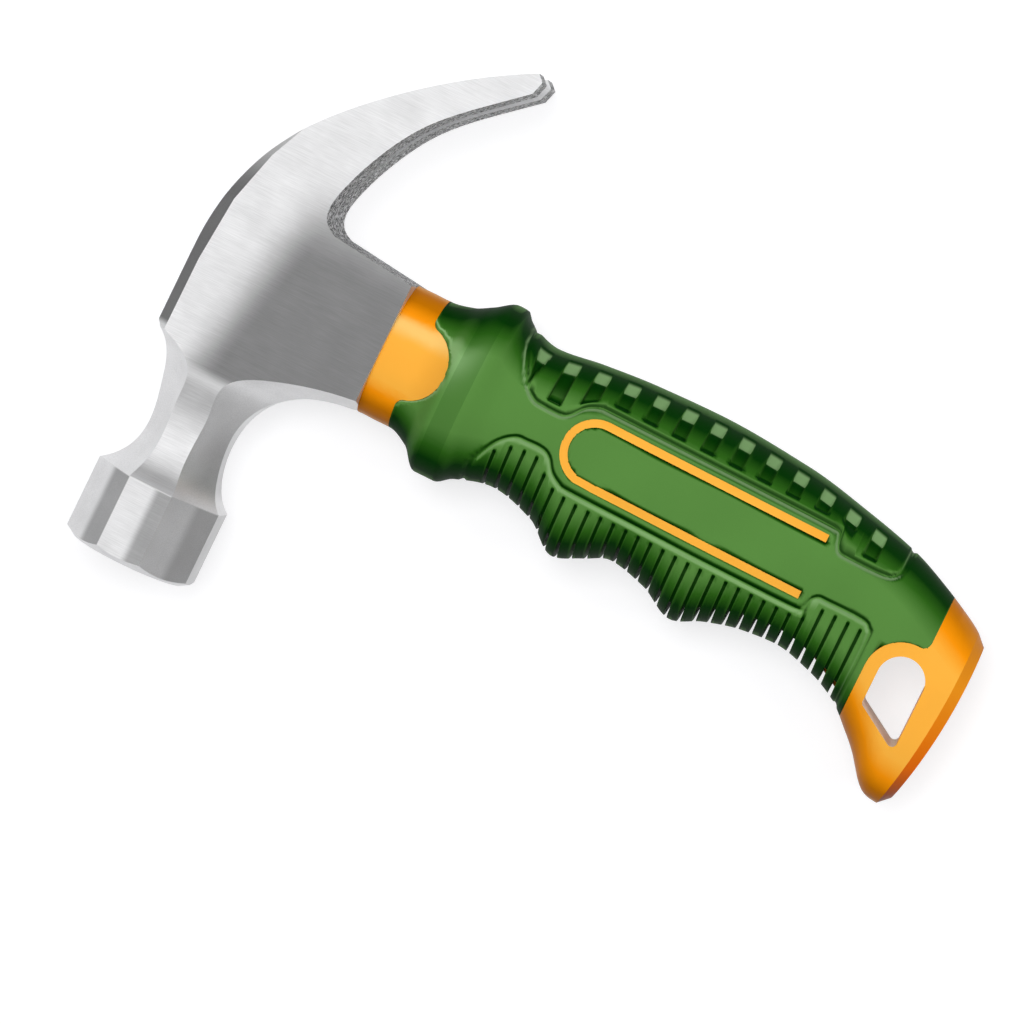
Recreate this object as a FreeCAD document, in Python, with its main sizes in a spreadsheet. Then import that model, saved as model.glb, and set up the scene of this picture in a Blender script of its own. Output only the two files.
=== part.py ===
import FreeCAD, Part

import math
import os

from FreeCAD import Base

Vector = Base.Vector

# Stubby claw hammer, lying on its side.
#   +X runs along the handle from the crown of the head to the butt,
#   +Y points from the handle's axis towards the claw, -Y towards the striking face,
#   +Z is up, across the thickness; the hammer is symmetric about its mid-plane.
# The pieces are drawn with the crown on X = 0, the handle's axis on Y = 0 and the mid-plane
# on Z = 0. One shared Placement then stands the origin under the middle of the whole hammer.

doc = FreeCAD.newDocument("ClawHammer")
sheet = doc.addObject("Spreadsheet::Sheet", "Sizes")

SIZES = [
    # steel head
    ("eye_length", 40.1, "crown to the open end of the eye socket"),
    ("face_reach", 57.1, "handle axis to the striking face"),
    ("poll_length", 15.6, "striking face to the poll's shoulder"),
    ("poll_width", 25.1, "across the flats of the octagonal poll"),
    ("poll_flat", 8.8, "width of the poll's square-on flats"),
    ("poll_centre", 13.0, "crown to the axis of the poll"),
    ("face_diameter", 22.2, "flat of the striking face"),
    ("face_bevel", 0.9, "turned bevel round the striking face, along the poll"),
    ("shoulder_round", 1.6, "rounding of the poll's shoulder into the neck"),
    ("neck_offset", 0.5, "poll's axis to the neck's axis"),
    ("waist_width", 15.4, "neck at its narrowest"),
    ("waist_flat", 6.2, "width of the neck's square-on flats at the waist"),
    ("waist_run", 10.8, "poll's shoulder to the waist"),
    ("cheek_thickness", 20.4, "across the cheeks"),
    ("cheek_flank", 5.0, "reach of the slanted flats over the cheeks' edges"),
    ("cheek_low", 17.6, "handle axis to the neck end of the cheek's flat"),
    ("crown_low", 13.3, "handle axis to the crown's corner above the neck"),
    ("socket_low", 12.9, "handle axis to the poll side of the socket end"),
    ("socket_high", 12.9, "handle axis to the claw side of the socket end"),
    ("crown_bevel", 2.0, "bevel along the crown, on the cheek"),
    ("crown_bevel_depth", 1.5, "bevel along the crown, inwards"),
    ("crown_high", 2.0, "handle axis to where the crown turns into the claw's back"),
    ("claw_reach", 58.1, "handle axis to the claw tips"),
    ("claw_drop", 45.0, "crown to the claw tips, along the handle"),
    ("claw_root", 20.0, "thickness of the claw where it leaves the cheek"),
    ("claw_spread", 22.8, "across both tines at their tips"),
    ("tip_thickness", 2.6, "thickness of a tine at its tip"),
    ("tip_slant", 1.3, "slant of a tine's end"),
    ("throat_flat", 3.4, "slanted flat in the throat, along the handle"),
    ("slot_width", 7.4, "nail slot between the tips"),
    ("slot_root", 26.0, "handle axis to the blind end of the nail slot"),
    ("slot_root_radius", 0.9, "blind end of the nail slot"),
    ("eye_height", 20.4, "eye across, in the plane of the claw, at the socket end"),
    ("eye_width", 13.4, "eye across the cheeks, at the socket end"),
    ("eye_flare", 1.2, "widening of the eye towards the crown, each way"),
    # core and bond
    ("core_diameter", 11.0, "fibreglass rod"),
    ("core_setback", 1.6, "crown to the end of the rod"),
    ("core_end_gap", 4.0, "end of the rod to the hanging hole"),
    # handle
    ("handle_end", 163.5, "crown to the crest of the rounded butt"),
    ("collar_length", 6.5, "plain collar below the socket"),
    ("collar_high", 13.2, "handle axis to the collar's claw side"),
    ("collar_low", 12.8, "handle axis to the collar's poll side"),
    ("collar_half", 9.6, "collar, half thickness"),
    ("flange_start", 54.5, "crown to the guard flange's front edge"),
    ("flange_length", 4.0, "guard flange along the handle"),
    ("flange_high", 18.2, "handle axis to the flange's claw side"),
    ("flange_low", 18.1, "handle axis to the flange's poll side"),
    ("flange_half", 13.4, "flange, half thickness"),
    ("palm_high", 16.5, "handle axis to the palm side at its fullest"),
    ("palm_half", 13.3, "grip, half thickness at its fullest"),
    ("butt_high", 6.9, "handle axis to the butt's claw side, before it falls away"),
    ("finger_dip", 14.2, "handle axis to the first finger hollow"),
    ("finger_swell", 20.8, "handle axis to the swells between the fingers"),
    ("finger_pitch", 23.6, "from one finger swell to the next"),
    ("finger_start", 84.4, "crown to the first finger swell"),
    ("hook_low", 35.0, "handle axis to the tip of the butt's hook"),
    ("butt_round", 135.0, "radius of the butt's end face, across the hook"),
    ("butt_crest", 5.7, "handle axis to the crest of the end face"),
    ("butt_bevel", 2.0, "bevel round the butt's end face"),
    ("grip_wall", 2.6, "soft grip over the jacket"),
    ("lobe_radius", 7.4, "rounded tongue of the jacket at the collar"),
    ("lobe_reach", 6.6, "tongue beyond the collar"),
    ("lobe_rise", 0.5, "handle axis to the tongue's centre"),
    ("seam_fillet", 1.6, "rounding where the grip's seams turn"),
    ("rear_seam", 154.4, "crown to the grip's rear seam on the claw side"),
    ("hole_centre", 152.3, "crown to the hanging hole's axis"),
    ("hole_offset", 12.1, "handle axis to the centre of the hole's round end"),
    ("hole_rim", 2.6, "hard rim between the hanging hole and the grip"),
    ("hole_width", 9.0, "hanging hole"),
    ("hole_left_drop", 6.9, "round end's centre to the hole's near lower corner"),
    ("hole_right_drop", 12.3, "round end's centre to the hole's far lower corner"),
    ("hole_corner", 1.0, "lower corners of the hanging hole"),
    ("stripe_width", 1.5, "raised stripe of the jacket, flush with the grip"),
    ("stripe_radius", 5.7, "stripe's round end, on its centre line"),
    ("stripe_rise", 0.2, "handle axis to the centre of the stripe's round end"),
    ("stripe_start", 84.2, "crown to the centre of the stripe's round end"),
    ("stripe_end", 129.0, "crown to the stripe's open end"),
    ("stripe_drift", 0.6, "fall of the stripe's arms towards the butt"),
    ("pocket_count", 13, "pockets along the palm side of the grip"),
    ("pocket_pitch", 5.83, "from one pocket to the next"),
    ("pocket_start", 67.4, "crown to the first pocket's centre"),
    ("pocket_width", 2.9, "a pocket, along the handle"),
    ("pocket_top", 1.5, "palm edge of the grip to a pocket's upper end"),
    ("pocket_low", 9.5, "handle axis to a pocket's lower end"),
    ("pocket_fall", 0.05, "fall of the lower end from one pocket to the next"),
    ("pocket_end_low", 5.4, "handle axis to the lower end of the second and the last pocket"),
    ("pocket_point", 6.2, "length of the first pocket, which is pointed"),
    ("pocket_depth", 1.0, "a pocket, below the grip's surface"),
    ("slit_count", 30, "slits along the finger side of the grip"),
    ("slit_pitch", 2.569, "from one slit to the next"),
    ("slit_start", 67.2, "crown to the first slit's centre"),
    ("slit_width", 0.6, "a slit, along the handle"),
    ("slit_notch", 3.2, "a slit in the grip's finger edge"),
]

for row, (alias, value, meaning) in enumerate(SIZES, start=1):
    sheet.set(f"A{row}", alias)
    sheet.set(f"B{row}", str(value))
    sheet.set(f"C{row}", meaning)
    sheet.setAlias(f"B{row}", alias)
doc.recompute()


def size(alias):
    """The present value of a cell of the sheet, in millimetres or degrees."""
    return float(getattr(sheet, alias))


def line(start, end):
    return Part.makeLine(Vector(start[0], start[1], 0), Vector(end[0], end[1], 0))


def arc(start, middle, end):
    return Part.Arc(*[Vector(x, y, 0) for x, y in (start, middle, end)]).toShape()


def spline(points, periodic=False):
    """One smooth edge through points."""
    curve = Part.BSplineCurve()
    curve.interpolate(Points=[Vector(*p) for p in points], PeriodicFlag=periodic)
    return curve.toShape()


def closed(points):
    """A wire of straight edges through points and then back to the start."""
    return Part.makePolygon([Vector(x, y, 0) for x, y in points + points[:1]])


def outline(*runs):
    """A closed wire in the XY plane. A run of two points is a line, a longer one a smooth curve.
    Each run starts where the run before it ended."""
    edges = []
    last = runs[-1][-1]
    for run in runs:
        points = [last] + list(run)
        if len(points) == 2:
            edges.append(line(*points))
        else:
            edges.append(spline([(x, y, 0.0) for x, y in points]))
        last = points[-1]
    return Part.Wire(edges)


def prism(wire, direction):
    """A wire's face, pushed half of direction each way."""
    face = Part.Face(wire)
    face.translate(direction * -0.5)
    return face.extrude(direction)


def feature(label, shape):
    """A sub-part whose shape is worked out above from the sheet."""
    item = doc.addObject("Part::Feature", label)
    item.Label = label
    item.Shape = shape
    return item


# ---------------------------------------------------------------- steel head

poll_low = -size("face_reach")
shoulder = poll_low + size("poll_length")
waist = shoulder + size("waist_run")
poll_half = size("poll_width") / 2
waist_half = size("waist_width") / 2
cheek_half = size("cheek_thickness") / 2
axis_x = size("poll_centre")
neck_x = axis_x + size("neck_offset")
turn_in = size("shoulder_round")
DEEP = 4 * size("face_reach")     # longer than anything it has to pass through


def side_outline():
    """The head seen from the side: poll, neck, crown, claw, throat and socket end."""
    left = axis_x - poll_half
    right = axis_x + poll_half
    drop = size("claw_drop")
    reach = size("claw_reach")
    root = size("claw_root")
    tip = size("tip_thickness")
    eye = size("eye_length")
    high = size("socket_high")
    low = -size("socket_low")
    crown = -size("crown_low")
    near = neck_x - waist_half
    far = neck_x + waist_half
    slant = size("tip_slant")
    return outline(
        [(left, shoulder)],
        [(left + turn_in + 0.4, shoulder + turn_in), (near - 0.9, waist - 5.6), (near, waist),
         (near - 1.0, waist + 6.6), (3.1, crown - 4.7), (0.0, crown)],
        [(0.0, size("crown_high"))],
        [(0.2, 0.12 * reach), (5.0, 0.4 * reach), (0.43 * drop, 0.7 * reach),
         (0.87 * drop, 0.952 * reach), (drop - 0.8, reach)],
        [(drop + 0.5, reach - slant)],
        [(drop - 0.3, reach - slant - tip)],
        [(0.79 * drop, 0.797 * reach), (0.65 * drop, 0.685 * reach), (0.53 * drop, 0.53 * reach),
         (root + 0.9, 0.4 * reach), (root + 0.4, high + 4.4), (root + size("throat_flat"), high + 1.9)],
        [(eye, high)],
        [(eye, low)],
        [(axis_x + 19.4, low - 1.3), (axis_x + 12.6, low - 5.2), (far + 0.5, waist + 6.0), (far, waist),
         (far + 0.9, waist - 5.2), (right - turn_in, shoulder + turn_in), (right, shoulder)],
        [(right, poll_low)],
        [(left, poll_low)],
    )


def front_outline():
    """The head seen along the handle, as x = height off the mid-plane: poll, waist, cheeks, claw."""
    reach = size("claw_reach")
    low = -size("cheek_low")
    spread = size("claw_spread") / 2

    def half(sign):
        return [
            (sign * poll_half, poll_low), (sign * poll_half, shoulder),
        ], [
            (sign * (poll_half - turn_in - 0.2), shoulder + turn_in),
            (sign * (waist_half + 0.9), waist - 5.2), (sign * waist_half, waist),
            (sign * (waist_half + 0.8), waist + 5.6), (sign * (cheek_half - 0.25), low - 2.4),
            (sign * cheek_half, low),
        ], [
            (sign * (cheek_half + 0.2), size("socket_high")), (sign * spread, reach + 1.0),
        ]

    straight, neck, cheek = half(1.0)
    straight_b, neck_b, cheek_b = half(-1.0)
    runs = [[p] for p in straight] + [neck] + [[p] for p in cheek]
    runs += [[cheek_b[1]], [cheek_b[0]], [neck_b[-1]], neck_b[-2::-1] + [straight_b[-1]]]
    runs += [[straight_b[0]]]
    return outline(*runs)


def corner_outline():
    """The limit of the slanted flats, as x = distance along the diagonal: poll, waist and cheeks."""
    root2 = math.sqrt(2.0)
    poll = (poll_half + size("poll_flat") / 2) / root2
    neck = (waist_half + size("waist_flat") / 2) / root2
    cheek = (cheek_half + size("cheek_flank")) / root2
    low = -size("cheek_low")

    top = low + 7.8

    def half(sign):
        return [
            (sign * poll, poll_low), (sign * poll, shoulder),
        ], [
            (sign * (poll - turn_in - 0.1), shoulder + turn_in + 0.2), (sign * (neck + 0.7), waist - 5.2),
            (sign * neck, waist), (sign * (neck + 0.8), waist + 6.0), (sign * cheek, low),
            (sign * (cheek + 4.4), low + 3.2), (sign * (cheek + 11.8), low + 6.1),
            (sign * (cheek + 24.0), top),
        ]

    straight, neck_run = half(1.0)
    straight_b, neck_run_b = half(-1.0)
    runs = [[p] for p in straight] + [neck_run, [(DEEP, top)], [(DEEP, DEEP)], [(-DEEP, DEEP)]]
    runs += [[(-DEEP, top)], [neck_run_b[-1]], neck_run_b[-2::-1] + [straight_b[-1]]]
    runs += [[straight_b[0]]]
    return outline(*runs)


def turned(shape, degrees):
    """A prism drawn along Z, turned about the poll's axis."""
    shape.rotate(Vector(0, 0, 0), Vector(0, 1, 0), degrees)
    shape.translate(Vector(axis_x, 0, 0))
    return shape


# the crown's bevel up the claw's back, as (share of the claw's reach, shift along the handle)
CROWN_CLIMB = [(0.0, 0.0), (0.22, 1.0), (0.4, 4.0), (0.56, 8.4)]


def crown_wedges(solid):
    """The head less a bevel along the crown on both cheeks, running out up the claw."""
    wide = size("crown_bevel")
    deep = size("crown_bevel_depth")
    reach = size("claw_reach")
    widening = (size("claw_spread") / 2 - cheek_half) / (reach - size("socket_high"))
    over = 4.0    # how far the wedge reaches past the crown and the cheek
    for sign in (1.0, -1.0):
        def section(y, shift):
            half = cheek_half + widening * max(0.0, y - size("socket_high"))
            top = half + over
            inner = half - deep - over * deep / wide
            slope = wide + over * wide / deep
            corners = [(-over, inner), (-over, top), (slope, top), (-over, inner)]
            return Part.makePolygon([Vector(shift + x, y, sign * z) for x, z in corners])

        wedge = [section(-size("crown_low") - 6.0, 0.0), section(0.0, 0.0)]
        climb = [section(share * reach, shift) for share, shift in CROWN_CLIMB]
        for sections in (wedge, climb):
            solid = solid.cut(Part.makeLoft(sections, True, True))
    return solid


def eye_ring(x):
    """The eye's oval at x; it widens evenly from the socket end to the crown."""
    flare = size("eye_flare") * (1.0 - x / size("eye_length"))
    ellipse = Part.Ellipse(Vector(0, 0, 0), size("eye_height") / 2 + flare, size("eye_width") / 2 + flare)
    wire = Part.Wire([ellipse.toShape()])
    # the major axis is drawn along X and stands along Y
    wire.rotate(Vector(0, 0, 0), Vector(0, 0, 1), 90)
    wire.rotate(Vector(0, 0, 0), Vector(0, 1, 0), 90)
    wire.translate(Vector(x, 0, 0))
    return wire


def eye_taper(start, end):
    return Part.makeLoft([eye_ring(start), eye_ring(end)], True, True)


def nail_slot():
    """The V between the tines: straight flanks from a small round blind end."""
    r = size("slot_root_radius")
    root = size("slot_root")
    reach = size("claw_reach")
    half = size("slot_width") / 2
    over = 4.0
    end = half + over * (half - r) / (reach - root)
    corners = [(r, root), (end, reach + over), (-end, reach + over), (-r, root)]
    flanks = [line(*pair) for pair in zip(corners, corners[1:])]
    solid = prism(Part.Wire([arc((-r, root), (0.0, root - r), (r, root))] + flanks), Vector(0, 0, DEEP))
    solid.rotate(Vector(0, 0, 0), Vector(0, 1, 0), 90)
    return solid


def face_turning():
    """What is turned off round the striking face, a cone outside its flat."""
    flat = size("face_diameter") / 2
    rise = size("face_bevel") / (poll_half - flat)
    outer = poll_half + 4.0
    corners = [(flat, poll_low), (outer, poll_low), (outer, poll_low + rise * (outer - flat))]
    ring = Part.Face(closed(corners))
    solid = ring.revolve(Vector(0, 0, 0), Vector(0, 1, 0), 360)
    solid.translate(Vector(axis_x, 0, 0))
    return solid


def head_blank():
    """The forged outline, cut to its thickness and its slanted flats, its face and crown bevelled."""
    blank = prism(side_outline(), Vector(0, 0, DEEP))
    front = turned(prism(front_outline(), Vector(0, 0, DEEP)), 90)
    diagonal = prism(corner_outline(), Vector(0, 0, DEEP))
    blank = blank.common(front)
    blank = blank.common(turned(diagonal.copy(), 45)).common(turned(diagonal.copy(), -45))
    return crown_wedges(blank).cut(face_turning())


# ---------------------------------------------------------------- handle

socket = size("eye_length")
flange = size("flange_start")
flange_end = flange + size("flange_length")
butt = size("handle_end")
hook = -size("hook_low")
swell = -size("finger_swell")
dip = -size("finger_dip")
first = size("finger_start")
pitch = size("finger_pitch")
palm = size("palm_high")
collar_high = size("collar_high")
collar_low = -size("collar_low")
collar_half = size("collar_half")
flange_high = size("flange_high")
flange_low = -size("flange_low")
flange_half = size("flange_half")
palm_half = size("palm_half")
butt_high = size("butt_high")
seam = socket + size("collar_length")
OVER = 3.0    # how far the guides run past the handle's ends

# Guide lines of the handle's outside, as (x, y) or (x, half thickness). Each is smooth between keys,
# and each key stands off a named place of the handle by the last number in each of its two terms.
TOP = [
    (socket - OVER, collar_high), (seam, collar_high), (seam + 4.5, collar_high + 0.9),
    (flange, flange_high - 2.3), (flange_end, flange_high), (flange_end + 1.8, flange_high - 0.1),
    (flange_end + 3.0, flange_high - 1.4), (flange_end + 4.6, palm - 0.8),
    (flange_end + 10.0, palm - 2.3), (first - 7.0, palm - 1.2), (first + 4.0, palm - 0.3),
    (first + 0.7 * pitch, palm), (first + 1.5 * pitch, palm - 1.3), (first + 2.1 * pitch, palm - 4.0),
    (butt - 19.0, butt_high + 2.9), (butt - 12.0, butt_high), (butt - 3.0, butt_high - 4.7),
    (butt + OVER, butt_high - 8.8),
]
BOTTOM = [
    (socket - OVER, collar_low), (seam, collar_low), (seam + 4.2, collar_low - 1.7),
    (flange, flange_low), (flange_end, flange_low), (flange_end + 3.0, dip - 2.0),
    (flange_end + 10.6, dip), (first - 6.5, dip - 2.2), (first, swell), (first + 5.5, swell + 2.2),
    (first + 0.43 * pitch, swell + 4.2), (first + 0.75 * pitch, swell + 2.6),
    (first + pitch + 1.2, swell - 0.7), (first + 1.3 * pitch, swell + 1.7),
    (first + 1.6 * pitch, swell + 3.5), (first + 1.87 * pitch, swell + 4.0),
    (first + 2.2 * pitch, swell + 2.3), (butt - 21.0, swell - 0.5), (butt - 16.1, hook + 9.4),
    (butt - 13.1, hook + 6.4), (butt - 10.1, hook + 2.5), (butt - 7.1, hook + 0.4),
    (butt - 3.4, hook + 0.1), (butt + OVER, hook),
]
SIDE = [
    (socket - OVER, collar_half), (seam, collar_half), (seam + 4.2, collar_half + 1.1),
    (flange, flange_half), (flange_end, flange_half), (flange_end + 6.0, palm_half - 1.4),
    (first - 8.0, palm_half - 1.0), (first + 0.8 * pitch, palm_half),
    (first + 1.9 * pitch, palm_half - 1.2), (butt - 18.0, palm_half - 2.6), (butt + OVER, palm_half - 3.6),
]


def along(guide, x):
    """Height of a guide line at x: cubic steps that never overshoot their keys."""
    def slope(i):
        if i == 0 or i == len(guide) - 1:
            return 0.0
        (x0, y0), (x1, y1), (x2, y2) = guide[i - 1:i + 2]
        before = (y1 - y0) / (x1 - x0)
        after = (y2 - y1) / (x2 - x1)
        return 2.0 * before * after / (before + after) if before * after > 0.0 else 0.0

    i = max(k for k in range(len(guide) - 1) if guide[k][0] <= x or k == 0)
    (x0, y0), (x1, y1) = guide[i], guide[i + 1]
    w = x1 - x0
    u = (x - x0) / w
    return ((2 * u ** 3 - 3 * u ** 2 + 1) * y0 + (u ** 3 - 2 * u ** 2 + u) * w * slope(i)
            + (3 * u ** 2 - 2 * u ** 3) * y1 + (u ** 3 - u ** 2) * w * slope(i + 1))


SECTION_POWER = 2.4     # 2 is an ellipse, more is squarer
SECTION_POINTS = 16
FLARE_PACE = 2.4        # stations along the collar and its flare
NECK_PACE = 1.5         # stations just behind the flange
GRIP_PACE = 4.2         # stations along the grip
BUTT_PACE = 2.2         # stations along the butt
TANG_PACE = 5.0         # stations along the inner body


def ring(x, inset=0.0, underside=None):
    """The handle's section at x, a rounded oval drawn in by inset; underside is another lower guide."""
    high = along(TOP, x) - inset
    low = along(underside, x) if underside else along(BOTTOM, x) + inset
    side = along(SIDE, x) - inset
    centre = (high + low) / 2
    tall = (high - low) / 2
    points = []
    for k in range(SECTION_POINTS):
        turn = 2 * math.pi * k / SECTION_POINTS
        c, s = math.cos(turn), math.sin(turn)
        y = centre + math.copysign(abs(c) ** (2 / SECTION_POWER), c) * tall
        z = math.copysign(abs(s) ** (2 / SECTION_POWER), s) * side
        points.append((x, y, z))
    return Part.Wire([spline(points, periodic=True)])


def steps(start, end, pace):
    """Even stations from start to end, about pace apart."""
    count = max(1, round((end - start) / pace))
    return [start + (end - start) * k / count for k in range(count + 1)]


def body():
    """The handle's outside: collar and flare, flange band, grip and butt."""
    front = Part.makeLoft([ring(x) for x in steps(socket, flange, FLARE_PACE)], True)
    band = Part.makeLoft([ring(flange), ring(flange_end)], True, True)
    neck = flange_end + 6.0
    hilt = butt - 21.0
    stations = steps(flange_end, neck, NECK_PACE)[:-1] + steps(neck, hilt, GRIP_PACE)[:-1]
    stations += steps(hilt, butt + OVER - 0.1, BUTT_PACE)
    return front.fuse(band).fuse(Part.makeLoft([ring(x) for x in stations], True))


def bevelled_end(shape):
    """The handle cut off at its rounded end face, narrowing to it over the bevel."""
    bevel = size("butt_bevel")
    radius = size("butt_round")
    centre = Vector(butt - bevel - radius, -size("butt_crest"), -DEEP / 2)
    drum = Part.makeCylinder(radius, DEEP, centre)
    drum.rotate(centre, Vector(0, 0, 1), 180)    # its seam faces away from the butt
    stub = shape.common(drum)
    seat = max(stub.Faces, key=lambda face: face.CenterOfMass.x)
    box = seat.BoundBox
    narrow = Base.Matrix()
    narrow.move(-seat.CenterOfMass)
    narrow.scale(1.0, 1.0 - 2 * bevel / box.YLength, 1.0 - 2 * bevel / box.ZLength)
    narrow.move(seat.CenterOfMass + Vector(bevel, 0, 0))
    tip = seat.transformGeometry(narrow).Faces[0]
    flanks = Part.makeLoft([seat.OuterWire, tip.OuterWire], False, True)
    skirt = Part.Solid(Part.Shell([seat, tip] + flanks.Faces))
    if not skirt.isValid():
        skirt.reverse()    # its faces looked inwards
    return stub.fuse(skirt)


hole_x = size("hole_centre")
hole_y = -size("hole_offset")
hole_half = size("hole_width") / 2
rim = hole_half + size("hole_rim")
rear = size("rear_seam")
lobe = size("lobe_radius")
lobe_x = seam + size("lobe_reach") - lobe
lobe_y = size("lobe_rise")


def seam_turn(line_x, side, centre, radius, up):
    """The rounding between the upright seam at line_x and a circle: its two ends and middle.
    side is +1 where the grip lies at higher x than the seam, up is +1 above the circle's centre."""
    fillet = size("seam_fillet")
    x = line_x + side * fillet
    y = centre[1] + up * math.sqrt((radius + fillet) ** 2 - (x - centre[0]) ** 2)
    reach = radius / (radius + fillet)
    on_circle = (centre[0] + (x - centre[0]) * reach, centre[1] + (y - centre[1]) * reach)
    bisector = (-side + (on_circle[0] - x) / fillet, (on_circle[1] - y) / fillet)
    norm = math.hypot(*bisector) / fillet
    return (line_x, y), (x + bisector[0] / norm, y + bisector[1] / norm), on_circle


def grip_zone():
    """Where the soft grip reaches the surface, seen from the side, cut through the whole handle."""
    front = (lobe_x, lobe_y)
    hole = (hole_x, hole_y)
    a1, a2, a3 = seam_turn(seam, 1.0, front, lobe, 1.0)
    b1, b2, b3 = seam_turn(seam, 1.0, front, lobe, -1.0)
    c1, c2, c3 = seam_turn(rear, -1.0, hole, rim, 1.0)
    far = 2 * size("hook_low")
    around = (hole_x - rim * math.sin(math.pi / 4), hole_y + rim * math.cos(math.pi / 4))
    edges = [
        line((seam, far), a1), arc(a1, a2, a3), arc(a3, (lobe_x + lobe, lobe_y), b3), arc(b3, b2, b1),
        line(b1, (seam, -far)), line((seam, -far), (hole_x - rim, -far)),
        line((hole_x - rim, -far), (hole_x - rim, hole_y)), arc((hole_x - rim, hole_y), around, c3),
        arc(c3, c2, c1), line(c1, (rear, far)), line((rear, far), (seam, far)),
    ]
    return prism(Part.Wire(edges), Vector(0, 0, DEEP))


def hanging_hole():
    """Round towards the claw side, with a slanting floor towards the hook."""
    left = hole_x - hole_half
    right = hole_x + hole_half
    corners = [(right, hole_y), (left, hole_y), (left, hole_y - size("hole_left_drop")),
               (right, hole_y - size("hole_right_drop"))]
    solid = prism(closed(corners), Vector(0, 0, DEEP))
    through = [edge for edge in solid.Edges if edge.BoundBox.ZLength > DEEP / 2]
    low = [edge for edge in through if edge.CenterOfMass.y < hole_y - 1.0]
    solid = solid.makeFillet(size("hole_corner"), low)
    round_end = Part.makeCylinder(hole_half, DEEP, Vector(hole_x, hole_y, -DEEP / 2))
    return solid.fuse(round_end).removeSplitter()


def stripe():
    """The raised stripe: a long U, open towards the butt."""
    start = size("stripe_start")
    end = size("stripe_end")
    fall = size("stripe_drift")
    outer = size("stripe_radius") + size("stripe_width") / 2
    inner = size("stripe_radius") - size("stripe_width") / 2
    y = size("stripe_rise")
    edges = [
        line((end, y + outer - fall), (start, y + outer)),
        arc((start, y + outer), (start - outer, y), (start, y - outer)),
        line((start, y - outer), (end, y - outer - fall)),
        line((end, y - outer - fall), (end, y - inner - fall)),
        line((end, y - inner - fall), (start, y - inner)),
        arc((start, y - inner), (start - inner, y), (start, y + inner)),
        line((start, y + inner), (end, y + inner - fall)),
        line((end, y + inner - fall), (end, y + outer - fall)),
    ]
    return prism(Part.Wire(edges), Vector(0, 0, DEEP))


wall = size("grip_wall")
TANG_LOW = [
    (socket - OVER, dip + wall), (first + 1.6 * pitch, dip + wall),
    (hole_x - rim, along(BOTTOM, hole_x - rim) + wall), (rear + OVER, along(BOTTOM, rear + OVER) + wall),
]


def tang():
    """The jacket's inner body, which the soft grip is moulded round."""
    stations = steps(seam - 2.0, rear + 1.0, TANG_PACE)
    return Part.makeLoft([ring(x, wall, TANG_LOW) for x in stations], True, True)


def skin_height(x, y):
    """Height of the handle's outside over the mid-plane at (x, y)."""
    high = along(TOP, x)
    low = along(BOTTOM, x)
    share = abs(2 * y - high - low) / (high - low)
    return along(SIDE, x) * (1.0 - share ** SECTION_POWER) ** (1.0 / SECTION_POWER)


POCKET_FLOORS = 3


def pocket(index, side):
    """One pocket of the palm side, from near the edge down to the panel's lower bound.
    Its floor follows the grip's surface in straight steps, at the pocket's depth."""
    x = size("pocket_start") + index * size("pocket_pitch")
    half = size("pocket_width") / 2
    last = int(size("pocket_count")) - 1
    top = along(TOP, x) - size("pocket_top")
    if index == 0:
        low = top - size("pocket_point")
    elif index in (1, last):
        low = size("pocket_end_low")
    else:
        low = size("pocket_low") - index * size("pocket_fall")

    floor = []
    for k in range(POCKET_FLOORS + 1):
        y = low + (top - low) * k / POCKET_FLOORS
        floor.append((y, side * (skin_height(x, y) - size("pocket_depth"))))
    roof = side * 2 * size("palm_half")
    points = [Vector(x - half, y, z) for y, z in floor + [(top, roof), (low, roof)]]
    solid = Part.Face(Part.makePolygon(points + points[:1])).extrude(Vector(2 * half, 0, 0))
    if index == 0:
        pointed = closed([(x - half, top), (x + half, top), (x, low)])
        solid = solid.common(prism(pointed, Vector(0, 0, DEEP)))
    return solid


def notch(index):
    """Where one slit of the finger side opens through the grip's edge."""
    x = size("slit_start") + index * size("slit_pitch")
    half = size("slit_width") / 2
    floor = -2 * size("hook_low")
    root = along(BOTTOM, x) + size("slit_notch")
    corners = [(x - half, floor), (x + half, floor), (x + half, root), (x - half, root)]
    return prism(closed(corners), Vector(0, 0, DEEP))


def grip_relief():
    """Everything cut from the grip's surface: pockets on both sides and notches in the finger edge."""
    pockets = range(int(size("pocket_count")))
    tools = [pocket(index, side) for index in pockets for side in (1.0, -1.0)]
    return Part.makeCompound(tools + [notch(index) for index in range(int(size("slit_count")))])


def boolean(kind, label, base, *tools):
    """A boolean of document objects; the shapes it is made from stay in the document."""
    item = doc.addObject(kind, label)
    item.Label = label
    if kind == "Part::MultiFuse":
        item.Shapes = [base, *tools]
    else:
        item.Base = base
        item.Tool = tools[0]
    return item


def rod(label, diameter, start, end):
    """A round bar along the handle's axis, from start to end; the sizes are the sheet's."""
    item = doc.addObject("Part::Cylinder", label)
    item.Label = label
    item.setExpression("Radius", f"Sizes.{diameter} / 2")
    item.setExpression("Height", f"{end} - {start}")
    item.setExpression("Placement.Base.x", start)
    item.Placement.Rotation = FreeCAD.Rotation(Vector(0, 1, 0), 90)
    return item


# the head: a forged blank, with the eye and the nail slot taken out
blank = feature("head_blank", head_blank())
eye = feature("eye", eye_taper(-1.0, size("eye_length") + 1.0))
slot = feature("nail_slot", nail_slot())
head_with_eye = boolean("Part::Cut", "head_with_eye", blank, eye)
head = boolean("Part::Cut", "steel_head", head_with_eye, slot)

# the core runs from just inside the crown to just short of the hanging hole
CORE_END = "(Sizes.hole_centre - Sizes.hole_width / 2 - Sizes.core_end_gap)"
core = rod("fibreglass_core", "core_diameter", "Sizes.core_setback", CORE_END)
core_bore = rod("core_bore", "core_diameter", "Sizes.core_setback", CORE_END)

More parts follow.
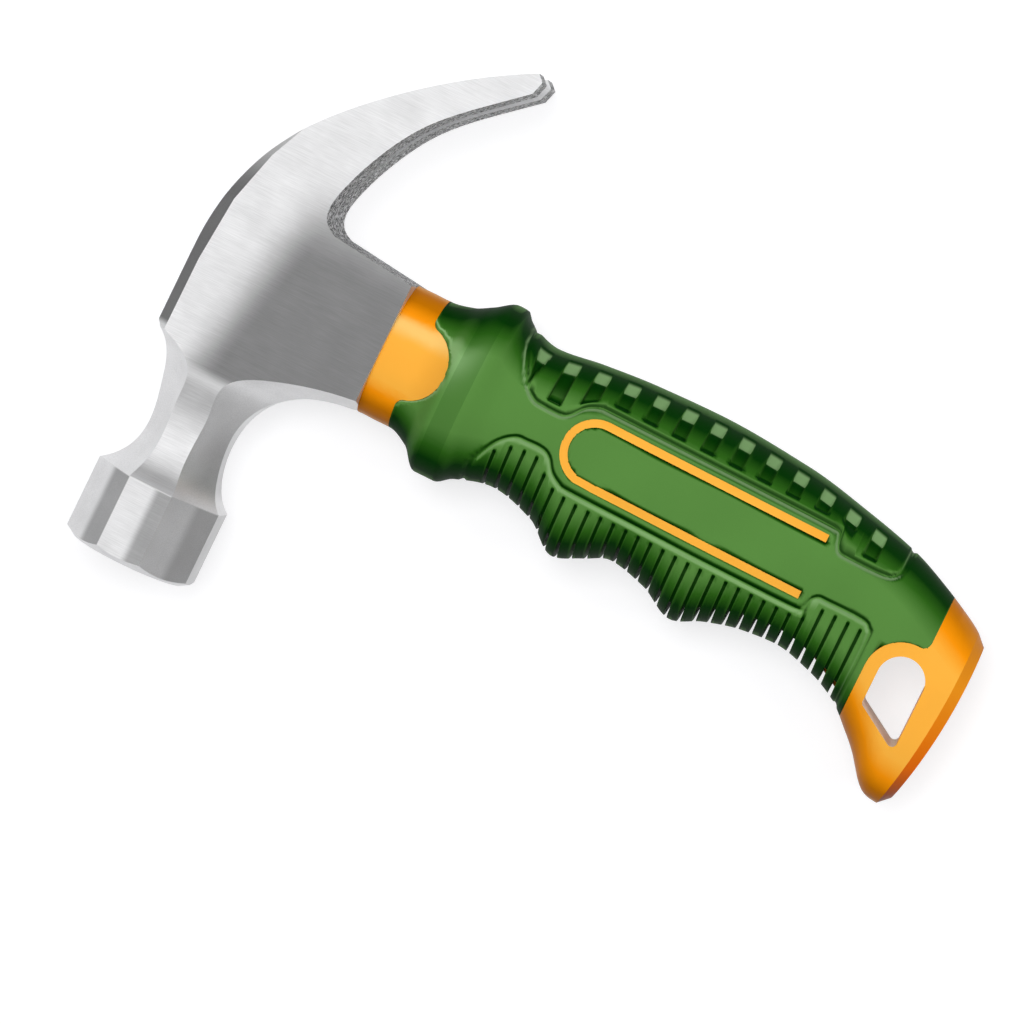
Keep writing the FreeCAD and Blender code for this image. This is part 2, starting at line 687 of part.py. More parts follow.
# the bond fills the eye round the core and over its end
bond_fill = feature("bond_fill", eye_taper(0.0, size("eye_length")))
bond = boolean("Part::Cut", "epoxy_bond", bond_fill, core_bore)

# the jacket and the grip share the handle's outside, the grip's zone, the tang and the stripe
outside = feature("handle_outside", bevelled_end(body()))
zone = feature("grip_zone", grip_zone())
tang_body = feature("tang", tang())
stripe_body = feature("stripe", stripe())
hole = feature("hanging_hole", hanging_hole())
hard_skin = boolean("Part::Cut", "hard_skin", outside, zone)
stripe_rib = boolean("Part::Common", "stripe_rib", outside, stripe_body)
jacket_blank = boolean("Part::MultiFuse", "jacket_blank", hard_skin, tang_body, stripe_rib)
jacket_open = boolean("Part::Cut", "jacket_open", jacket_blank, hole)
jacket = boolean("Part::Cut", "handle_jacket", jacket_open, core_bore)

soft_skin = boolean("Part::Common", "soft_skin", outside, zone)
relief = feature("grip_relief", grip_relief())
soft_relieved = boolean("Part::Cut", "soft_relieved", soft_skin, relief)
soft_shell = boolean("Part::Cut", "soft_shell", soft_relieved, tang_body)
grip = boolean("Part::Cut", "soft_grip", soft_shell, stripe_body)

# stand the origin under the middle of the hammer as it lies
PARTS = [head, core, bond, jacket, grip]
box = blank.Shape.optimalBoundingBox()
box.add(outside.Shape.optimalBoundingBox())
middle = box.Center
for part in PARTS:
    if part is core:
        part.setExpression("Placement.Base.x", f"Sizes.core_setback - {middle.x:.6f}")
        part.Placement = FreeCAD.Placement(Vector(0, -middle.y, -box.ZMin), part.Placement.Rotation)
    else:
        part.Placement = FreeCAD.Placement(Vector(-middle.x, -middle.y, -box.ZMin), FreeCAD.Rotation())
doc.recompute()

for item in doc.Objects:
    if "Invalid" in item.State or "Error" in item.State:
        raise RuntimeError(f"{item.Label} did not recompute: {item.State}")
for part in PARTS:
    if part.Shape.isNull() or not part.Shape.isValid() or len(part.Shape.Solids) != 1:
        raise RuntimeError(f"{part.Label} is not one valid solid")

os.makedirs("parts", exist_ok=True)
for part in PARTS:
    part.Shape.exportStep(f"parts/{part.Label}.step")
    print(part.Label, round(part.Shape.Volume / 1000, 2), "cm3", part.Shape.optimalBoundingBox())
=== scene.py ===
import math

import bmesh
import bpy
import numpy as np
from mathutils import Matrix, Vector


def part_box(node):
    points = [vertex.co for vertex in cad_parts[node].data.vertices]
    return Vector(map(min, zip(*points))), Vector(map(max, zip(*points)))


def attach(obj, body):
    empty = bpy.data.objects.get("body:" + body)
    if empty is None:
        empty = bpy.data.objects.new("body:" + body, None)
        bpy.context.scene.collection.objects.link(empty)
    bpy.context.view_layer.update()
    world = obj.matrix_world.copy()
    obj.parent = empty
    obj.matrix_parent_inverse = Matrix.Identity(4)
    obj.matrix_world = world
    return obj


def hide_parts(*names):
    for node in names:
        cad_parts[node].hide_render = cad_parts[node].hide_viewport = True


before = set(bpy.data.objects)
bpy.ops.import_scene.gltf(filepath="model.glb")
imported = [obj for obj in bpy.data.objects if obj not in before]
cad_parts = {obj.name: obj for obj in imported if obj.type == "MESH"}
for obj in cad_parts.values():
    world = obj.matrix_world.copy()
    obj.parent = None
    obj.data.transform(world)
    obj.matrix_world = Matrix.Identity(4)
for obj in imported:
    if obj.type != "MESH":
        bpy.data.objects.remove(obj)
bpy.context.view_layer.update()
MM = 0.001

# The hammer's own measures run from the crown of the head (x), the handle's axis (y) and the
# mid-plane (z), in millimetres. The frame says where those lie.
core_low, core_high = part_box("fibreglass_core")
CROWN = core_low.x - 1.6 * MM
AXIS = (core_low.y + core_high.y) / 2
MIDDLE = (core_low.z + core_high.z) / 2


def place(x, y, z):
    """A point given in the hammer's own millimetres, in the frame."""
    return Vector((CROWN + x * MM, AXIS + y * MM, MIDDLE + z * MM))


# ------------------------------------------------------------------ the handle's outside

SEAM = 46.6          # grip's front seam
REAR = 154.4         # grip's rear seam, on the claw side
FLANGE = 54.5
FLANGE_END = 58.5
FIRST = 84.4         # first finger swell
PITCH = 23.6
BUTT = 163.5
WALL = 2.6
POWER = 2.4          # roundness of the oval section

TOP = [
    (37.1, 13.2), (SEAM, 13.2), (SEAM + 4.5, 14.1), (FLANGE, 15.9), (FLANGE_END, 18.2),
    (FLANGE_END + 1.8, 18.1), (FLANGE_END + 3.0, 16.8), (FLANGE_END + 4.6, 15.7),
    (FLANGE_END + 10.0, 14.2), (FIRST - 7.0, 15.3), (FIRST + 4.0, 16.2), (FIRST + 0.7 * PITCH, 16.5),
    (FIRST + 1.5 * PITCH, 15.2), (FIRST + 2.1 * PITCH, 12.5), (BUTT - 19.0, 9.8), (BUTT - 12.0, 6.9),
    (BUTT - 3.0, 2.2), (BUTT + 3.0, -1.9),
]
BOTTOM = [
    (37.1, -12.8), (SEAM, -12.8), (SEAM + 4.2, -14.5), (FLANGE, -18.1), (FLANGE_END, -18.1),
    (FLANGE_END + 3.0, -16.2), (FLANGE_END + 10.6, -14.2), (FIRST - 6.5, -16.4), (FIRST, -20.8),
    (FIRST + 5.5, -18.6), (FIRST + 0.43 * PITCH, -16.6), (FIRST + 0.75 * PITCH, -18.2),
    (FIRST + PITCH + 1.2, -21.5), (FIRST + 1.3 * PITCH, -19.1), (FIRST + 1.6 * PITCH, -17.3),
    (FIRST + 1.87 * PITCH, -16.8), (FIRST + 2.2 * PITCH, -18.5), (BUTT - 21.0, -21.3),
    (BUTT - 16.1, -25.6), (BUTT - 13.1, -28.6), (BUTT - 10.1, -32.5), (BUTT - 7.1, -34.6),
    (BUTT - 3.4, -34.9), (BUTT + 3.0, -35.0),
]
SIDE = [
    (37.1, 9.6), (SEAM, 9.6), (SEAM + 4.2, 10.7), (FLANGE, 13.4), (FLANGE_END, 13.4),
    (FLANGE_END + 6.0, 11.9), (FIRST - 8.0, 12.3), (FIRST + 0.8 * PITCH, 13.3),
    (FIRST + 1.9 * PITCH, 12.1), (BUTT - 18.0, 10.7), (BUTT + 3.0, 9.7),
]


def along(guide, x):
    """Height of a guide line at x: cubic steps that never overshoot their keys."""
    def slope(i):
        if i == 0 or i == len(guide) - 1:
            return 0.0
        (x0, y0), (x1, y1), (x2, y2) = guide[i - 1:i + 2]
        before = (y1 - y0) / (x1 - x0)
        after = (y2 - y1) / (x2 - x1)
        return 2.0 * before * after / (before + after) if before * after > 0.0 else 0.0

    i = max(k for k in range(len(guide) - 1) if guide[k][0] <= x or k == 0)
    (x0, y0), (x1, y1) = guide[i], guide[i + 1]
    w = x1 - x0
    u = (x - x0) / w
    return ((2 * u ** 3 - 3 * u ** 2 + 1) * y0 + (u ** 3 - 2 * u ** 2 + u) * w * slope(i)
            + (3 * u ** 2 - 2 * u ** 3) * y1 + (u ** 3 - u ** 2) * w * slope(i + 1))


# ------------------------------------------------------------------ the grip's relief

SLIT_COUNT = 30
SLIT_PITCH = 2.569
SLIT_START = 67.2            # first slit's centre
SLIT_HALF = 0.28
SLIT_DEPTH = 0.55
SLIT_NOTCH = 3.2             # how far a slit cuts up into the finger edge
POCKET_COUNT = 13
POCKET_PITCH = 5.83
POCKET_START = 67.4          # first pocket's centre
POCKET_HALF = 1.45
POCKET_DEPTH = 1.0
POCKET_EDGE = 1.15           # palm edge down to a pocket
POCKET_HIGHLIGHT = 1.75            # painted highlight on a pocket's upper end
POCKET_SLOPE = 0.28          # width of a pocket's side walls
GROOVE_HALF = 0.62
GROOVE_DEPTH = 0.42
STRIPE_RADIUS = 5.7
STRIPE_HALF = 0.75
STRIPE_START = 84.2
STRIPE_END = 129.0
STRIPE_DRIFT = 0.6
STRIPE_BED = 1.3             # how deep the grip lies under the stripe
LOBE_Y = 0.5
LOBE_RADIUS = 7.4
LOBE_REACH = 6.6             # tongue beyond the seam
LOBE_X = SEAM + LOBE_REACH - LOBE_RADIUS
HOLE_X = 152.3
HOLE_Y = -12.1
HOLE_RIM = 7.1               # hole's centre to the grip
SEAM_FILLET = 1.6
SKIN = 0.8                   # thickness of the mesh that stands for the grip
TUCK = 0.35                  # how far the skin runs on under the jacket

UPPER_PANEL = [
    (63.2, 17.5), (63.9, 13.3), (64.7, 10.8), (67.1, 6.6), (69.6, 4.4), (71.8, 4.0), (75.6, 4.0),
    (77.2, 5.0), (78.9, 7.1), (81.4, 8.3), (84.0, 8.4), (106.0, 8.1), (128.4, 7.7), (130.6, 7.1),
    (131.1, 5.6), (132.0, 4.2), (134.0, 3.9), (141.0, 3.9), (143.4, 5.0), (143.9, 7.4), (143.9, 12.5),
]
LOWER_PANEL = [
    (63.0, -17.5), (63.8, -12.5), (64.6, -9.9), (67.0, -5.7), (69.6, -3.5), (71.8, -3.2), (75.2, -3.2),
    (77.0, -4.2), (78.6, -6.4), (81.0, -7.8), (83.6, -8.1), (106.0, -8.5), (128.6, -8.8), (130.6, -7.9),
    (131.1, -6.2), (132.2, -5.1), (134.0, -5.0), (141.0, -5.1), (143.0, -6.2), (143.5, -8.4), (143.5, -25.0),
]
SLIT_TOPS_FIRST = (-7.4, -5.4, -4.9, -4.9, -7.2, -8.9, -9.3)
SLIT_TOPS_LAST = (-9.7, -6.7, -6.6, -6.6, -6.8)


def smooth_path(points, fine=8):
    """Points along a Catmull-Rom curve through points."""
    ends = [points[0]] + list(points) + [points[-1]]
    out = []
    for k in range(len(points) - 1):
        p0, p1, p2, p3 = [np.array(p) for p in ends[k:k + 4]]
        for s in np.arange(fine) / fine:
            out.append(0.5 * (2 * p1 + (p2 - p0) * s + (2 * p0 - 5 * p1 + 4 * p2 - p3) * s ** 2
                              + (3 * p1 - p0 - 3 * p2 + p3) * s ** 3))
    return np.array(out + [np.array(points[-1], float)])


def path_distance(x, y, path):
    """Distance of each (x, y) from a chain of straight runs."""
    best = np.full(x.shape, 1e9)
    for (ax, ay), (bx, by) in zip(path[:-1], path[1:]):
        dx, dy = bx - ax, by - ay
        s = np.clip(((x - ax) * dx + (y - ay) * dy) / (dx * dx + dy * dy), 0.0, 1.0)
        best = np.minimum(best, np.hypot(x - ax - s * dx, y - ay - s * dy))
    return best


def ramp(value, width):
    """0 below zero, 1 above width, with a soft start and end."""
    s = np.clip(value / width, 0.0, 1.0)
    return s * s * (3 - 2 * s)


def slit_top(index):
    if index < len(SLIT_TOPS_FIRST):
        return SLIT_TOPS_FIRST[index]
    if index >= SLIT_COUNT - len(SLIT_TOPS_LAST):
        return SLIT_TOPS_LAST[index - SLIT_COUNT]
    return -9.6 - 0.03 * (index - len(SLIT_TOPS_FIRST))


def pocket_floor(index, x):
    """Lower edge of a pocket at x."""
    centre = POCKET_START + index * POCKET_PITCH
    if index == 0:
        return 6.9
    if index in (1, POCKET_COUNT - 1):
        return 5.4
    if index == 2:
        return 8.3 + 0.7 * (x - centre)
    if index == POCKET_COUNT - 2:
        return 9.0 - 0.28 * (x - centre)
    return 9.8 - 0.06 * (index - 3)


def soft_max(a, b, radius):
    """The larger of two distances, rounding the inner corner where they meet."""
    u = np.maximum(radius + a, 0.0)
    v = np.maximum(radius + b, 0.0)
    rounded = np.hypot(u, v) - radius
    return np.where((u > 0) & (v > 0), np.minimum(np.maximum(a, b) + radius, rounded), np.maximum(a, b))


def zone_gap(x, y):
    """How far (x, y) lies beyond the grip's seams, in the hard jacket; negative in the grip."""
    tongue = LOBE_RADIUS - np.hypot(x - LOBE_X, y - LOBE_Y)
    near = soft_max(SEAM - x, tongue, SEAM_FILLET)
    ring = HOLE_RIM - np.hypot(x - HOLE_X, y - HOLE_Y)
    column = np.minimum(x - (HOLE_X - HOLE_RIM), HOLE_Y - y)
    behind = np.maximum(np.maximum(ring, column), soft_max(x - REAR, ring, SEAM_FILLET))
    return np.maximum(near, behind)


def stripe_gap(x, y):
    """Distance from the centre line of the raised stripe."""
    centre = LOBE_Y - 0.3
    share = np.clip((x - STRIPE_START) / (STRIPE_END - STRIPE_START), 0.0, 1.0)
    arms = np.abs(np.abs(y - centre + share * STRIPE_DRIFT) - STRIPE_RADIUS)
    arms = np.where(x > STRIPE_END, np.hypot(arms, x - STRIPE_END), arms)
    turn = np.abs(np.hypot(x - STRIPE_START, y - centre) - STRIPE_RADIUS)
    return np.where(x < STRIPE_START, turn, arms)


def pocket_relief(index, x, y, high):
    """One pocket of the palm side: how much of it is cut at (x, y), and the shade painted in it: a painted
    highlight on its upper end, painted shade below that and along its side edges. The first pocket narrows
    to a point. high is the section's upper end."""
    centre = POCKET_START + index * POCKET_PITCH
    top = high - POCKET_EDGE
    floor = pocket_floor(index, x)
    half = np.full(x.shape, POCKET_HALF)
    if index == 0:
        half = POCKET_HALF * np.clip((y - floor) / (high - 1.5 - floor), 0.0, 1.0)
    corner = np.maximum(0.0, 0.6 - (top - y)) ** 2 * 0.9
    side = ramp(half - corner - np.abs(x - centre), POCKET_SLOPE)
    cut = side * ramp(y - floor, 0.3) * np.clip((top - y) / 1.5, 0.0, 1.0) ** 0.6
    upright = ramp(y - floor, 0.2) * ramp(top - y, 0.15)
    lit_end = ramp(y - (top - POCKET_HIGHLIGHT), 0.3)
    below = np.clip((y - floor) / 4.5, 0.0, 1.0)
    # painted shade along the pocket's side edges, painted highlight on its upper end
    edge_shade = ramp(0.22 - np.abs(np.abs(x - centre) - half + 0.1), 0.2) * upright
    shade = side * upright * (lit_end - (1.0 - lit_end) * (0.35 + 0.65 * below)) - 0.7 * edge_shade * (1.0 - lit_end)
    return cut, shade


def relief(x, y, high):
    """The grip's moulded relief at (x, y): its depth, and the painted shade and highlight that lie in it,
    painted shade below 0 and painted highlight above. high is the section's upper end."""
    depth = np.zeros(x.shape)
    relief_shading = np.zeros(x.shape)
    for panel in (UPPER_PANEL, LOWER_PANEL):
        path = smooth_path(panel, 4)
        gap = path_distance(x, y, path)
        groove = np.clip(1.0 - (gap / GROOVE_HALF) ** 2, 0.0, 1.0)
        depth = np.maximum(depth, GROOVE_DEPTH * groove)
        # painted highlight on the lower side of a panel groove, painted shade on its upper side
        lit = path_distance(x + 0.1, y + 0.45, path)
        relief_shading += 0.9 * np.clip(1.0 - (lit / 0.5) ** 2, 0.0, 1.0)
        shaded = path_distance(x - 0.1, y - 0.4, path)
        relief_shading -= 0.9 * np.clip(1.0 - (shaded / 0.5) ** 2, 0.0, 1.0)
    for index in range(POCKET_COUNT):
        cut, shade = pocket_relief(index, x, y, high)
        depth = np.maximum(depth, POCKET_DEPTH * cut)
        relief_shading += shade
    for index in range(SLIT_COUNT):
        centre = SLIT_START + index * SLIT_PITCH
        cut = ramp(SLIT_HALF + 0.08 - np.abs(x - centre), 0.1) * ramp(slit_top(index) - y, 0.25)
        depth = np.maximum(depth, SLIT_DEPTH * cut)
        # painted shade in the slit
        relief_shading -= cut
    depth = np.maximum(depth, STRIPE_BED * ramp(STRIPE_HALF - 0.12 - stripe_gap(x, y), 0.25))
    hidden = ramp(zone_gap(x, y) - 0.05, 0.45)
    return depth * (1.0 - hidden) + (WALL - 0.1) * hidden, np.clip(relief_shading, -1.0, 1.0)


def grip_stations():
    """Where the grip's sections stand: on both edges of every slit and pocket, and evenly between."""
    edges = []
    for k in range(SLIT_COUNT):
        centre = SLIT_START + k * SLIT_PITCH
        edges += [centre + s for s in (-0.37, -0.27, 0.27, 0.37)]
    for k in range(POCKET_COUNT):
        centre = POCKET_START + k * POCKET_PITCH
        inner = POCKET_HALF - POCKET_SLOPE
        for s in (-POCKET_HALF, -inner, -0.5, 0.5, inner, POCKET_HALF):
            if min(abs(centre + s - e) for e in edges) > 0.07:
                edges.append(centre + s)
    edges += [SEAM - 0.9, SEAM, FLANGE, FLANGE_END, REAR, REAR + 1.0]
    edges = sorted(edges)
    stations = [edges[0]]
    for after in edges[1:]:
        before = stations[-1]
        fine = 0.5 if before < 86.0 or before > 126.0 else 0.9
        fine = 0.3 if 62.0 < before < 66.0 or 140.0 < before < 145.0 else fine
        count = max(1, math.ceil((after - before) / fine))
        stations += [before + (after - before) * k / count for k in range(1, count + 1)]
    return stations


def level_lines(x, high, low):
    """Heights that the grip's mesh follows along the handle, from its top to its bottom edge, with
    the number of steps up to each: pocket edges, panel lines, slit ends and notch roots."""
    slit = min(max(round((x - SLIT_START) / SLIT_PITCH), 0), SLIT_COUNT - 1)
    pocket = min(max(round((x - POCKET_START) / POCKET_PITCH), 1), POCKET_COUNT - 1)
    floor = float(pocket_floor(pocket, x))
    upper = along(UPPER_LINE, x)
    lower = along(LOWER_LINE, x)
    lines = [
        (high - POCKET_EDGE, 7), (high - 1.9, 2), (high - 2.65, 2), (floor + 0.3, 6), (floor, 2),
        (upper + GROOVE_HALF, 2), (upper, 2), (upper - GROOVE_HALF, 2), (lower + GROOVE_HALF, 22),
        (lower, 2), (lower - GROOVE_HALF, 2), (slit_top(slit), 2), (slit_top(slit) - 0.25, 1),
        (low + SLIT_NOTCH, 8), (low, 9),
    ]
    out = []
    last = high
    for k, (y, steps) in enumerate(lines):
        left = len(lines) - 1 - k
        y = max(min(y, last - 0.12), low + 0.12 * left)
        out.append((y, steps))
        last = y
    return out


UPPER_LINE = [(46.0, 10.0), (64.7, 10.8), (67.1, 6.6), (69.6, 4.4), (71.8, 4.0), (75.6, 4.0), (77.2, 5.0),
              (78.9, 7.1), (81.4, 8.3), (84.0, 8.4), (128.4, 7.7), (130.6, 7.1), (131.1, 5.6),
              (132.0, 4.2), (134.0, 3.9), (141.0, 3.9), (156.0, 2.0)]
LOWER_LINE = [(46.0, -9.0), (64.6, -9.9), (67.0, -5.7), (69.6, -3.5), (71.8, -3.2), (75.2, -3.2),
              (77.0, -4.2), (78.6, -6.4), (81.0, -7.8), (83.6, -8.1), (128.6, -8.8), (130.6, -7.9),
              (131.1, -6.2), (132.2, -5.1), (134.0, -5.0), (141.0, -5.1), (156.0, -7.0)]


def ring_angles(x, high, low):
    """Angles of one section's points, from the top edge round the front to the bottom edge."""
    centre = (high + low) / 2
    tall = (high - low) / 2

    def angle(y):
        share = max(-1.0, min(1.0, (y - centre) / tall))
        return math.acos(math.copysign(abs(share) ** (POWER / 2), share))

    angles = [0.0]
    for y, count in level_lines(x, high, low):
        start = angles[-1]
        end = angle(y) if y > low + 1e-6 else math.pi
        angles += [start + (end - start) * k / count for k in range(1, count + 1)]
    return angles


def grip_rows():
    """The grip's outer surface as arrays of x, y, z and the relief's painted shade and highlight, one row a
    station; and the gap to the seams before the relief moves the points."""
    xs = grip_stations()
    front = np.array([ring_angles(x, along(TOP, x), along(BOTTOM, x)) for x in xs])
    turn = np.concatenate([front, 2 * np.pi - front[:, -2:0:-1]], axis=1)
    high = np.array([along(TOP, x) for x in xs])[:, None]
    low = np.array([along(BOTTOM, x) for x in xs])[:, None]
    side = np.array([along(SIDE, x) for x in xs])[:, None]
    x = np.repeat(np.array(xs)[:, None], turn.shape[1], axis=1)
    tall = (high - low) / 2
    c, s = np.cos(turn), np.sin(turn)
    y = (high + low) / 2 + np.sign(c) * np.abs(c) ** (2 / POWER) * tall
    z = np.sign(s) * np.abs(s) ** (2 / POWER) * side
    # the section's own inward direction
    ny = np.sign(c) * np.abs(c) ** (2 - 2 / POWER) / tall
    nz = np.sign(s) * np.abs(s) ** (2 - 2 / POWER) / side
    norm = np.hypot(ny, nz)
    depth, relief_shading = relief(x, y, high)
    gap = zone_gap(x, y)
    y = y - ny / norm * depth
    z = z - nz / norm * depth
    # painted shade inside each notch
    for index in range(SLIT_COUNT):
        notch = np.abs(x - SLIT_START - index * SLIT_PITCH) < SLIT_HALF
        relief_shading = np.where(notch & (y < low + SLIT_NOTCH), -0.4, relief_shading)
        y = np.where(notch, np.maximum(y, low + SLIT_NOTCH), y)
    return x, y, z, relief_shading, gap


def mesh_object(name, vertices, faces):
    mesh = bpy.data.meshes.new(name)
    mesh.from_pydata([tuple(v) for v in vertices], [], faces)
    mesh.update()
    item = bpy.data.objects.new(name, mesh)
    bpy.context.scene.collection.objects.link(item)
    for polygon in mesh.polygons:
        polygon.use_smooth = True
    return item


def grip_mesh():
    """The soft grip: its relieved skin, tucked under the jacket at the seams, given a thickness."""
    x, y, z, relief_shading, gap = grip_rows()
    rows, around = x.shape
    vertices = [place(*point) for point in zip(x.ravel(), y.ravel(), z.ravel())]
    flat_gap = gap.ravel()
    faces = []
    for row in range(rows - 1):
        for k in range(around):
            n = (k + 1) % around
            corners = (row * around + k, row * around + n, (row + 1) * around + n, (row + 1) * around + k)
            if min(flat_gap[corner] for corner in corners) < TUCK:
                faces.append(corners)
    item = mesh_object("grip_cover", vertices, faces)
    mesh = item.data
    # the relief's painted shade and highlight, read by the rubber's colour
    values = mesh.attributes.new("relief_shading", "FLOAT", "POINT")
    values.data.foreach_set("value", relief_shading.ravel().astype(np.float32))
    # crisp rings on both edges of the guard flange
    crisp = {row for row in range(rows) for edge in (FLANGE, FLANGE_END) if abs(x[row, 0] - edge) < 1e-6}
    for edge in mesh.edges:
        a, b = edge.vertices
        if a // around == b // around and a // around in crisp:
            edge.use_edge_sharp = True
    loose = bmesh.new()
    loose.from_mesh(mesh)
    bmesh.ops.delete(loose, geom=[v for v in loose.verts if not v.link_faces], context="VERTS")
    bmesh.ops.recalc_face_normals(loose, faces=loose.faces)
    loose.to_mesh(mesh)
    loose.free()
    wall = item.modifiers.new("wall", "SOLIDIFY")
    wall.thickness = SKIN * MM
    wall.offset = -1.0
    with bpy.context.temp_override(object=item, active_object=item, selected_objects=[item]):
        bpy.ops.object.modifier_apply(modifier="wall")
    return item


# ------------------------------------------------------------------ materials

class Nodes:
    """A node material under construction."""

    def __init__(self, name):
        self.material = bpy.data.materials.new(name)
        self.material.use_nodes = True
        self.tree = self.material.node_tree
        self.shader = self.tree.nodes["Principled BSDF"]

    def add(self, kind, inputs=None, **settings):
        node = self.tree.nodes.new(kind)
        for key, value in settings.items():
            setattr(node, key, value)
        for key, value in (inputs or {}).items():
            self.put(node.inputs[key], value)
        return node

    def put(self, socket, value):
        if isinstance(value, bpy.types.NodeSocket):
            self.tree.links.new(value, socket)
        else:
            socket.default_value = value

    def math(self, operation, a, b=0.0, c=0.0, clamp=False):
        node = self.add("ShaderNodeMath", operation=operation, use_clamp=clamp)
        for socket, value in zip(node.inputs, (a, b, c)):
            self.put(socket, value)
        return node.outputs[0]

    def span(self, value, low, high):
        """0 at low, 1 at high, smooth between."""
        node = self.add("ShaderNodeMapRange", {"Value": value, "From Min": low, "From Max": high},
                        interpolation_type="SMOOTHSTEP")
        return node.outputs[0]

    def mix(self, share, a, b):
        node = self.add("ShaderNodeMix", data_type="RGBA")
        self.put(node.inputs["Factor"], share)
        self.put(node.inputs[6], a)
        self.put(node.inputs[7], b)
        return node.outputs[2]

    def local(self):
        """Position in the hammer's own millimetres: x, y, z."""
        where = self.add("ShaderNodeTexCoord").outputs["Object"]
        moved = self.add("ShaderNodeVectorMath", operation="SUBTRACT")
        self.put(moved.inputs[0], where)
        moved.inputs[1].default_value = (CROWN, AXIS, MIDDLE)
        scaled = self.add("ShaderNodeVectorMath", operation="SCALE")
        self.put(scaled.inputs[0], moved.outputs[0])
        scaled.inputs["Scale"].default_value = 1 / MM
        return scaled.outputs[0]

    def split(self, vector):
        node = self.add("ShaderNodeSeparateXYZ")
        self.put(node.inputs[0], vector)
        return node.outputs[0], node.outputs[1], node.outputs[2]

    def noise(self, vector, scale, stretch=(1, 1, 1), detail=2.0, rough=0.5):
        mapped = self.add("ShaderNodeVectorMath", operation="MULTIPLY")
        self.put(mapped.inputs[0], vector)
        mapped.inputs[1].default_value = stretch
        node = self.add("ShaderNodeTexNoise", {"Scale": scale, "Detail": detail, "Roughness": rough})
        self.put(node.inputs["Vector"], mapped.outputs[0])
        return node.outputs["Fac"]

    def ramp(self, value, stops):
        """Colours along a value."""
        node = self.add("ShaderNodeValToRGB")
        self.put(node.inputs[0], value)
        elements = node.color_ramp.elements
        while len(elements) < len(stops):
            elements.new(0.5)
        for element, (position, colour) in zip(elements, stops):
            element.position = position
            element.color = colour
        return node.outputs[0]

    def bump(self, height, strength, distance):
        node = self.add("ShaderNodeBump", {"Strength": strength, "Distance": distance})
        self.put(node.inputs["Height"], height)
        self.put(self.shader.inputs["Normal"], node.outputs[0])

    def set(self, **values):
        for key, value in values.items():
            self.put(self.shader.inputs[key.replace("_", " ")], value)


def grey(value):
    return (value, value, value * 1.01, 1.0)


